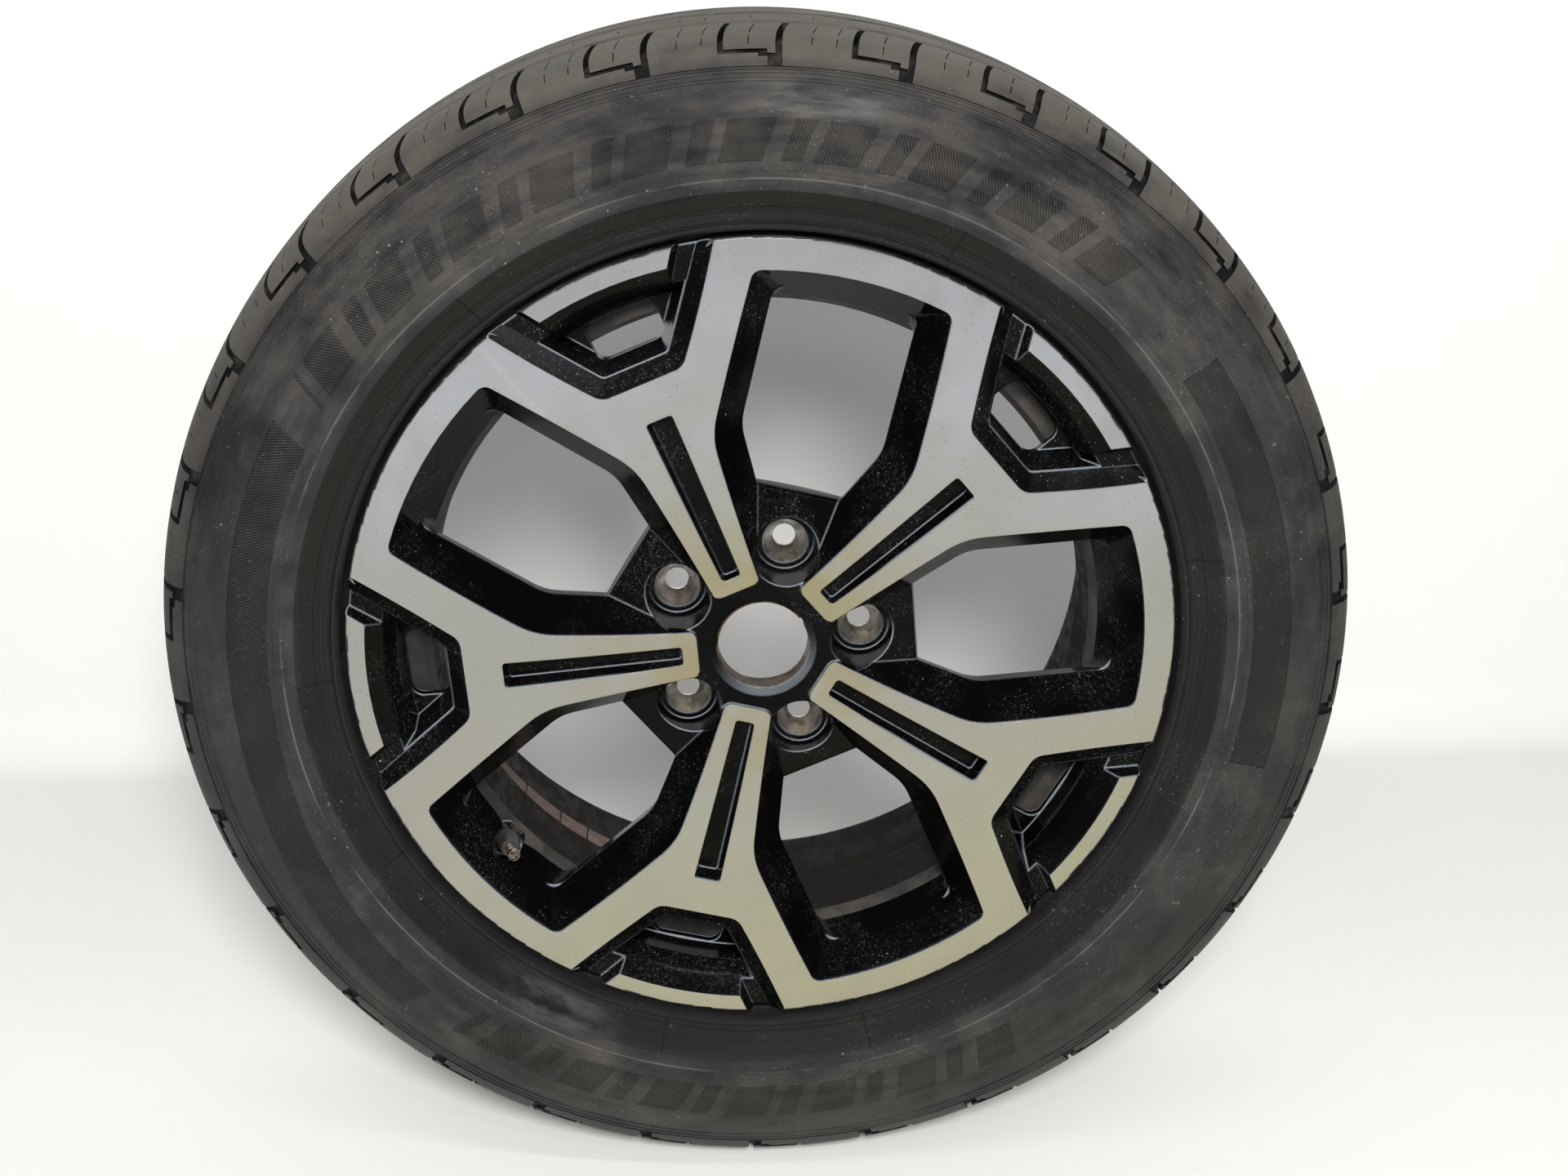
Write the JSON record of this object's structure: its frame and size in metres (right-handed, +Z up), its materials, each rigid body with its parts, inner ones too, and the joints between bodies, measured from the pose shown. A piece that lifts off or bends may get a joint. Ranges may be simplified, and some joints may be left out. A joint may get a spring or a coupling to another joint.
{
  "type": "alloy wheel",
  "caption": "Alloy road wheel with a fitted tyre: forked spokes with a machined face and black pockets, open hub bore, conical nut seats, rubber valve and stick-on balance weights.",
  "frame": {"origin": "centre of the tyre's box: on the axle, midway between the rim's two bead seats", "axes": "+Y along the axle from the outer face towards the vehicle, +Z up, +X to the right seen from the outer face"},
  "size_m": [0.6893, 0.221, 0.6894],
  "materials": {
    "wheel_finish": "gloss black paint with a machined, clear-coated face",
    "tyre_rubber": "matt, weathered",
    "valve_rubber": "satin",
    "valve_metal": "dull, nickel plated",
    "weight_tape": "foam tape",
    "weight_steel": "dull, rusty"
  },
  "bodies": {
    "wheel": {"alloy_wheel": "wheel_finish", "tyre": "tyre_rubber", "valve_rubber": "valve_rubber", "valve_stem": "valve_metal", "valve_core": "valve_metal", "balance_tape": "weight_tape", "balance_weight_1": "weight_steel", "balance_weight_2": "weight_steel", "balance_weight_3": "weight_steel", "balance_weight_4": "weight_steel"},
    "pin": {"valve_pin": "valve_metal"}
  },
  "joints": [
    {"name": "valve_pin_press", "type": "slide", "parent": "wheel", "child": "pin", "axis": [-0.2169, 0.9583, -0.1859], "range_m": [0, 0.0015], "stiffness_N_per_m": 2500, "springref_m": -0.001}
  ]
}
